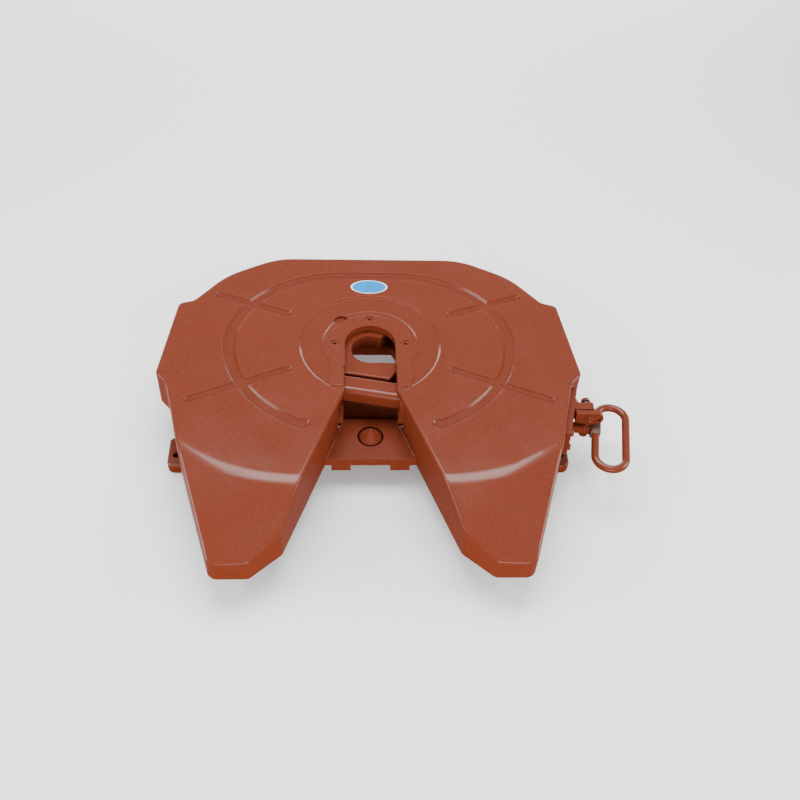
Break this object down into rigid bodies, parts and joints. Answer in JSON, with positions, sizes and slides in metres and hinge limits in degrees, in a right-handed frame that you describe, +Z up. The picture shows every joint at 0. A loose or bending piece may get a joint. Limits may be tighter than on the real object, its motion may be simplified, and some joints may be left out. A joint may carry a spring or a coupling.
{
  "type": "fifth wheel hitch",
  "caption": "Rocking fifth wheel coupling for a heavy truck: cast horseshoe plate on two pedestals, kingpin hook and lock bar, side pull handle with a safety latch.",
  "frame": {"origin": "centre of the chassis bolt rectangle on the mounting plane, straight below the kingpin axis", "axes": "+Z up along the kingpin axis, +Y the truck's forward direction, +X the side with the pull handle"},
  "size_m": [1.0862, 0.876, 0.185],
  "materials": {
    "plate_paint": "gloss oxide red over cast iron",
    "pedestal_paint": "gloss oxide red",
    "lock_paint": "gloss oxide red",
    "handle_paint": "gloss oxide red",
    "fastener_paint": "gloss oxide red",
    "bare_steel": "bare machined steel, lightly oiled",
    "sleeve_steel": "bare brown-grey steel",
    "spring_steel": "dark oiled spring steel",
    "bush_rubber": "matt black",
    "bronze": "satin",
    "nipple_brass": "satin",
    "badge_blue": "plain blue oval with a white rim"
  },
  "bodies": {
    "pedestals": {"right_pedestal": "pedestal_paint", "left_pedestal": "pedestal_paint", "right_rubber_bush": "bush_rubber", "left_rubber_bush": "bush_rubber", "right_bush_sleeve": "bare_steel", "left_bush_sleeve": "bare_steel"},
    "lock_bar": {"lock_bar": "lock_paint", "bar_stud": "bare_steel", "stud_washer": "fastener_paint"},
    "pull_handle": {"pull_bar": "handle_paint", "handle_sleeve": "sleeve_steel", "loop_handle": "handle_paint", "handle_bolt": "fastener_paint"},
    "safety_latch": {"safety_latch": "handle_paint"},
    "lock_hook": {"lock_hook": "lock_paint", "hook_bush": "bronze"},
    "top_plate": {"top_plate": "plate_paint", "wear_ring": "plate_paint", "wear_ring_screws": "fastener_paint", "oval_badge": "badge_blue", "right_bracket_pin": "bare_steel", "left_bracket_pin": "bare_steel", "right_pin_keeper": "fastener_paint", "left_pin_keeper": "fastener_paint", "pin_keeper_bolts": "fastener_paint", "hook_pivot_pin": "bare_steel", "hook_pin_nut": "fastener_paint", "lock_support_plate": "lock_paint", "lock_support_bolts": "fastener_paint", "spring_guide_rod": "bare_steel", "guide_rod_nut": "fastener_paint", "lock_spring": "spring_steel", "handle_guide_plate": "handle_paint", "guide_plate_bolts": "fastener_paint", "latch_bracket": "handle_paint", "latch_bolt": "fastener_paint", "latch_nut": "fastener_paint", "latch_spring": "spring_steel", "guide_cone": "plate_paint", "cone_bolts": "fastener_paint", "grease_nipples": "nipple_brass"}
  },
  "joints": [
    {"name": "plate_tilt", "type": "hinge", "parent": "pedestals", "child": "top_plate", "pos_m": [0, 0, 0.1], "axis": [1, 0, 0], "range_deg": [-15, 15]},
    {"name": "bar_slide", "type": "slide", "parent": "top_plate", "child": "lock_bar", "axis": [0.9806, -0.1959, 0], "range_m": [0, 0.15], "stiffness_N_per_m": 600, "springref_m": -0.05, "deforming": ["lock_spring"]},
    {"name": "hook_swing", "type": "hinge", "parent": "top_plate", "child": "lock_hook", "pos_m": [-0.105, 0.01, 0.145], "axis": [0, 0, 1], "range_deg": [-60, 0]},
    {"name": "handle_swing", "type": "hinge", "parent": "lock_bar", "child": "pull_handle", "pos_m": [0.10394, -0.13977, 0.114], "axis": [0, 0, 1], "range_deg": [0, 5]},
    {"name": "latch_lift", "type": "hinge", "parent": "top_plate", "child": "safety_latch", "pos_m": [0.495, -0.1965, 0.1455], "axis": [0, -1, 0], "range_deg": [0, 14]}
  ],
  "couplings": [
    {"joint": "hook_swing", "follows": "bar_slide", "rad_per_m": -0.2327}
  ]
}
